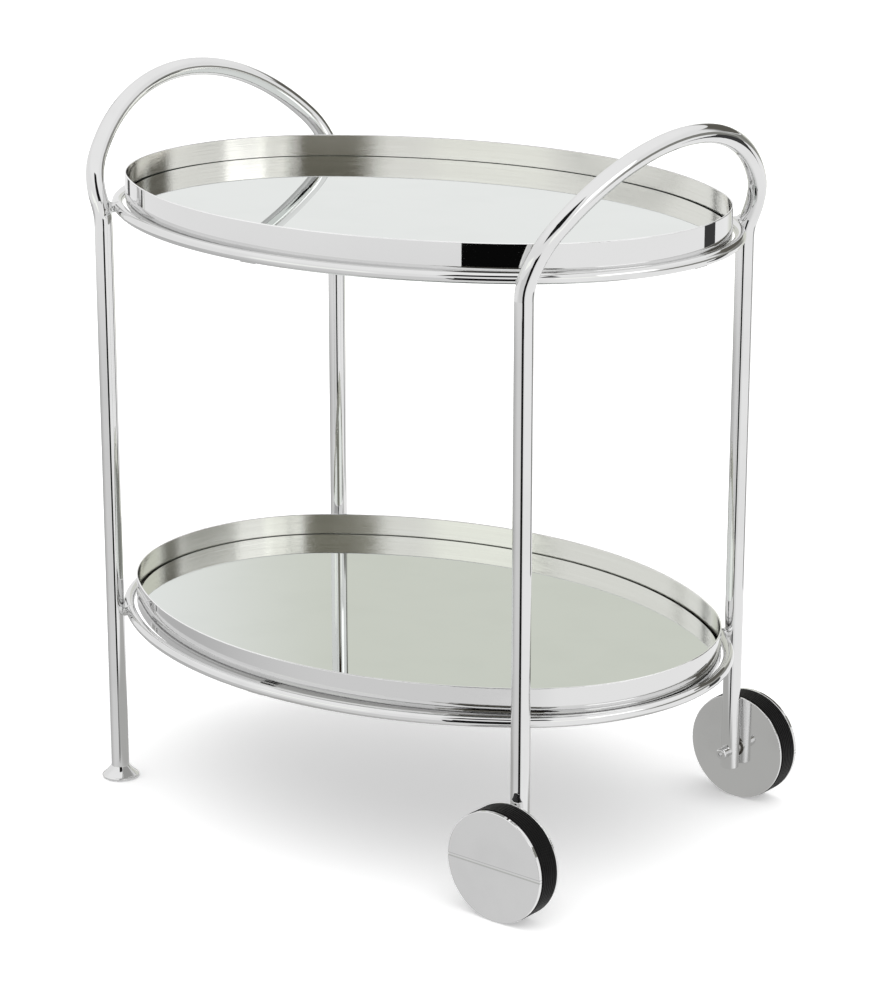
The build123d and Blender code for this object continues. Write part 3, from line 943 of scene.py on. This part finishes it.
@dataclass(frozen=True)
class Card:
    """A flat studio card that only reflections see, or only reflections of reflections if it is deep."""

    name: str
    centre: Triple
    width: float
    height: float
    azimuth: float
    light: Colour
    softness: Pair = (0.0, 0.0)
    tilt: float = 90.0
    deep: bool = False
    middle: float = 0.5
    edge: float = 0.001

    def build(self) -> None:
        """Make the card, upright at a tilt of 90 degrees and lying at 0, turned to its azimuth."""
        bpy.ops.object.select_all(action="DESELECT")
        bpy.ops.mesh.primitive_plane_add(size=1.0, location=self.centre)
        card = bpy.context.object
        card.name = self.name
        card.scale = (self.width, self.height, 1.0)
        card.rotation_euler = (math.radians(self.tilt), 0.0, math.radians(self.azimuth))
        card.visible_camera = False
        card.visible_diffuse = False
        card.visible_shadow = False
        card.data.materials.append(self._material())
        LOG.info("card %s", self.name)

    def _material(self) -> bpy.types.Material:
        """Make the card's light, which diffuse bounces don't carry on."""
        material, bench = blank_material(self.name)
        path = bench.add("ShaderNodeLightPath").outputs
        direct = bench.math("LESS_THAN", path["Diffuse Depth"], FIRST_BOUNCE)
        surface = bench.feed(bench.add("ShaderNodeEmission"), Color=self.light, Strength=direct).outputs[0]
        shares = self._fades(bench)
        if self.deep:
            shares.append(bench.math("GREATER_THAN", path["Glossy Depth"], SECOND_BOUNCE))
        for share in shares:
            mix = bench.add("ShaderNodeMixShader")
            bench.put(mix.inputs["Fac"], share)
            bench.put(mix.inputs[1], bench.add("ShaderNodeBsdfTransparent").outputs[0])
            bench.put(mix.inputs[2], surface)
            surface = mix.outputs[0]
        bench.show(surface)
        return material

    def _fades(self, bench: NodeBench) -> list[Socket]:
        """Give the shares by which the card fades out towards its soft edges.

        Args:
            bench: The bench on the card's material.

        Returns:
            A share from 0 to 1 for each direction that has soft edges.
        """
        across = bench.axes(bench.place("UV"))
        shares = []
        for axis, softness in zip(("X", "Y"), self.softness):
            if softness:
                off_centre = bench.math("ABSOLUTE", bench.math("SUBTRACT", across[axis], self.middle))
                fade_start = self.middle - self.edge - softness
                shares.append(bench.span(off_centre, (fade_start, self.middle), (1.0, 0.0)))
        return shares


@dataclass
class Studio:
    """The white floor, the surroundings and the light."""

    view: Viewpoint
    floor_size: float = 30.0
    floor_colour: Colour = grey(0.92)
    floor_lift: float = 0.40
    ambient: float = 0.85
    sun: float = 0.98
    sun_angle: float = 76.0
    sun_lean: float = 0.3
    second_hand_light: float = 0.15
    low_back_left_light: float = 0.52
    low_left_light: float = 0.73
    left_light: float = 0.90
    right_light: float = 0.95
    upper_light: float = 0.90
    zenith_light: float = 0.98
    back_to_front: Pair = (-0.6, 0.45)
    low_to_level: Pair = (-0.25, -0.2)
    left_to_right: Pair = (-0.35, 0.35)
    level_to_upper: Pair = (-0.1, 0.3)
    upper_to_zenith: Pair = (0.4, 0.75)
    gap_distance: float = 1.6
    gap_step: float = 0.01
    black: Colour = grey(0.012)
    deep_black: Colour = grey(0.003)
    brown: Colour = (0.025, 0.018, 0.009)
    shade: Colour = (0.25, 0.25, 0.23)

    def build(self) -> None:
        """Make the whole studio."""
        self._floor()
        self._surroundings()
        self._sun()
        for card in (*self._gap_cards(), *self._side_cards()):
            card.build()
        bpy.context.scene.view_settings.view_transform = "Standard"

    def _right(self) -> Vector:
        """Give the level direction to the camera's right."""
        turn = math.radians(self.view.azimuth)
        return Vector((math.cos(turn), math.sin(turn), 0.0))

    def _ahead(self) -> Vector:
        """Give the level direction towards the camera."""
        return Vector((self.view.back().x, self.view.back().y, 0.0)).normalized()

    def _floor(self) -> None:
        """Make the white floor, which keeps the cart's shadow."""
        bpy.ops.object.select_all(action="DESELECT")
        bpy.ops.mesh.primitive_plane_add(size=self.floor_size)
        floor = bpy.context.object
        floor.name = "floor"
        floor.visible_glossy = False
        material, bench = blank_material("floor")
        paint = bench.feed(bench.add("ShaderNodeBsdfDiffuse"), Color=self.floor_colour)
        seen = bench.add("ShaderNodeLightPath").outputs["Is Camera Ray"]
        lift = bench.math("MULTIPLY", seen, self.floor_lift)
        glow = bench.feed(bench.add("ShaderNodeEmission"), Strength=lift)
        both = bench.add("ShaderNodeAddShader")
        bench.put(both.inputs[0], paint.outputs[0])
        bench.put(both.inputs[1], glow.outputs[0])
        bench.show(both.outputs[0])
        floor.data.materials.append(material)
        LOG.info("floor")

    def _surroundings(self) -> None:
        """Make the world: white to the camera, a soft tent to metal and glass, plain light to the rest."""
        world = bpy.data.worlds.new("studio")
        bpy.context.scene.world = world
        world.use_nodes = True
        bench = NodeBench(world.node_tree)
        path = bench.add("ShaderNodeLightPath").outputs
        mirrored = bench.math("MAXIMUM", path["Is Glossy Ray"], path["Is Transmission Ray"])
        plain = bench.math("MULTIPLY_ADD", path["Is Camera Ray"], 1.0 - self.ambient, self.ambient)
        direct = bench.math("LESS_THAN", path["Diffuse Depth"], FIRST_BOUNCE)
        tent = bench.math("MULTIPLY", self._tent(bench), direct)
        reflected = bench.math("MAXIMUM", tent, self.second_hand_light)
        strength = bench.between(mirrored, plain, reflected)
        glow = bench.feed(bench.add("ShaderNodeBackground"), Color=grey(1.0), Strength=strength)
        bench.show(glow.outputs[0], "World")
        LOG.info("surroundings")

    def _tent(self, bench: NodeBench) -> Socket:
        """Give the light of the tent that metal and glass see, by its direction.

        Args:
            bench: The bench on the world's tree.

        Returns:
            The light's socket.
        """
        direction = bench.place("Generated")
        towards = bench.vector("DOT_PRODUCT", direction, tuple(self._ahead()))["Value"]
        across = bench.vector("DOT_PRODUCT", direction, tuple(self._right()))["Value"]
        height = bench.axes(direction)["Z"]
        low_left = bench.span(towards, self.back_to_front, (self.low_back_left_light, self.low_left_light))
        left = bench.span(height, self.low_to_level, (low_left, self.left_light))
        level = bench.between(bench.span(across, self.left_to_right), left, self.right_light)
        upper = bench.span(height, self.upper_to_zenith, (self.upper_light, self.zenith_light))
        return bench.between(bench.span(height, self.level_to_upper), level, upper)

    def _sun(self) -> None:
        """Make the broad soft light from above that gives the cart its shadow on the floor."""
        lamp = bpy.data.lights.new("overhead_light", "SUN")
        lamp.energy = self.sun
        lamp.angle = math.radians(self.sun_angle)
        holder = bpy.data.objects.new("overhead_light", lamp)
        holder.visible_glossy = False
        holder.rotation_mode = "QUATERNION"
        from_light = self._ahead() * self.sun_lean + Vector((0.0, 0.0, 1.0))
        holder.rotation_quaternion = from_light.to_track_quat("Z", "Y")
        bpy.context.scene.collection.objects.link(holder)
        LOG.info("overhead light")

    def _place(self, towards_camera: float, to_right: float, height: float) -> Triple:
        """Give a point from its distances towards the camera and to the right, and its height."""
        return tuple(self._ahead() * towards_camera + self._right() * to_right + Vector((0.0, 0.0, height)))

    def _facing(self, name: str, towards: float, across: Pair, heights: Pair, **looks: object) -> Card:
        """Make an upright card square to the view from its edges.

        Args:
            name: The card's name.
            towards: Its distance from the cart's middle towards the camera.
            across: Its left and right edges, from the cart's middle.
            heights: Its lower and upper edges above the floor.
            **looks: Its light, softness and depth.

        Returns:
            The card.
        """
        centre = self._place(towards, sum(across) / 2, sum(heights) / 2)
        width = across[1] - across[0]
        return Card(name, centre, width, heights[1] - heights[0], self.view.azimuth, **looks)

    def _round(
        self, name: str, bearing: float, radius: float, width: float, heights: Pair, **looks: object
    ) -> Card:
        """Make an upright card that faces the cart's middle.

        Args:
            name: The card's name.
            bearing: Its direction from the camera's, to the right, in degrees.
            radius: Its distance from the cart's middle.
            width: Its width.
            heights: Its lower and upper edges above the floor.
            **looks: Its light and softness.

        Returns:
            The card.
        """
        turn = math.radians(bearing)
        centre = self._place(radius * math.cos(turn), radius * math.sin(turn), sum(heights) / 2)
        return Card(name, centre, width, heights[1] - heights[0], self.view.azimuth + bearing, **looks)

    def _gap_cards(self) -> list[Card]:
        """List the cards of the dark gap round the camera."""
        front = self.gap_distance
        ahead = front + self.gap_step
        return [
            self._facing(
                "gap_upper", front, across=(-0.62, 0.58), heights=(1.27, 2.9), light=self.black,
                softness=(0.06, 0.08),
            ),
            self._facing(
                "gap_upper_foot", ahead, across=(-0.62, 0.62), heights=(1.06, 1.9), light=self.brown,
                softness=(0.06, 0.0), deep=True,
            ),
            self._facing(
                "gap_middle", front, across=(-0.7, 0.33), heights=(0.6, 1.06), light=(0.24, 0.235, 0.20),
                softness=(0.04, 0.0), deep=True,
            ),
            self._facing("gap_outer", front, across=(-0.42, 0.13), heights=(0.3, 0.6), light=self.deep_black),
            self._facing(
                "gap_post", ahead, across=(-0.178, -0.162), heights=(0.3, 0.6), light=grey(0.06),
                softness=(0.4, 0.0),
            ),
            self._facing("gap_low", front, across=(-0.5, 0.1), heights=(-0.62, 0.3), light=self.black),
        ]

    def _side_cards(self) -> list[Card]:
        """List the lit panels and dark edges round the cart, and the shade on the floor under it."""
        turn = self.view.azimuth
        return [
            self._facing(
                "low_backdrop", towards=-1.25, across=(-0.5, 1.3), heights=(0.125, 0.875),
                light=(0.69, 0.70, 0.64), softness=(0.22, 0.0),
            ),
            Card(
                "right_softbox", self._place(towards_camera=1.09, to_right=1.35, height=1.3), width=0.92,
                height=0.6, azimuth=turn + 47.0, light=grey(1.7),
            ),
            self._round(
                "shade_right", bearing=88.0, radius=1.9, width=2.6, heights=(0.4, 0.94), light=self.shade,
                softness=(0.3, 0.05),
            ),
            self._round(
                "shade_back", bearing=140.0, radius=1.95, width=2.6, heights=(0.4, 0.94), light=self.shade,
                softness=(0.3, 0.05),
            ),
            self._round(
                "low_panel_right", bearing=28.0, radius=2.0, width=1.0, heights=(0.6, 1.08),
                light=(1.12, 1.13, 1.09), softness=(0.08, 0.1),
            ),
            self._round(
                "low_panel_left", bearing=-56.0, radius=2.0, width=1.7, heights=(0.6, 1.08),
                light=(1.1, 1.12, 1.07), softness=(0.2, 0.1),
            ),
            Card(
                "right_edge", self._place(towards_camera=-0.94, to_right=2.235, height=0.1), width=0.52,
                height=1.1, azimuth=turn + 122.0, light=grey(0.05),
            ),
            self._round(
                "edge_upper", bearing=138.0, radius=2.4, width=2.8, heights=(0.98, 2.0),
                light=(0.12, 0.115, 0.10), softness=(0.22, 0.05),
            ),
            Card(
                "left_edge", self._place(towards_camera=-2.2, to_right=-1.3, height=0.5), width=0.12,
                height=2.0, azimuth=turn - 150.0, light=grey(0.1),
            ),
            Card(
                "floor_shade", self._place(towards_camera=0.0, to_right=0.03, height=0.0006), width=0.84,
                height=0.72, azimuth=turn, light=(0.46, 0.46, 0.45), softness=(0.12, 0.2), tilt=0.0,
            ),
        ]


def main() -> None:
    """Build the cart's looks, the studio and the camera."""
    logging.basicConfig(level=logging.INFO, format="%(name)s: %(message)s")
    view = Viewpoint()
    view.build()
    finishes = Finishes()
    FrameTubes(finishes).build()
    for tier in Tier:
        WeldBeads(tier, finishes).build()
        MirrorTray(tier, finishes).build()
    for side in Side:
        Wheel(side, finishes).build()
    AxleFittings(finishes).build()
    Studio(view).build()


if __name__ == "__main__":
    main()
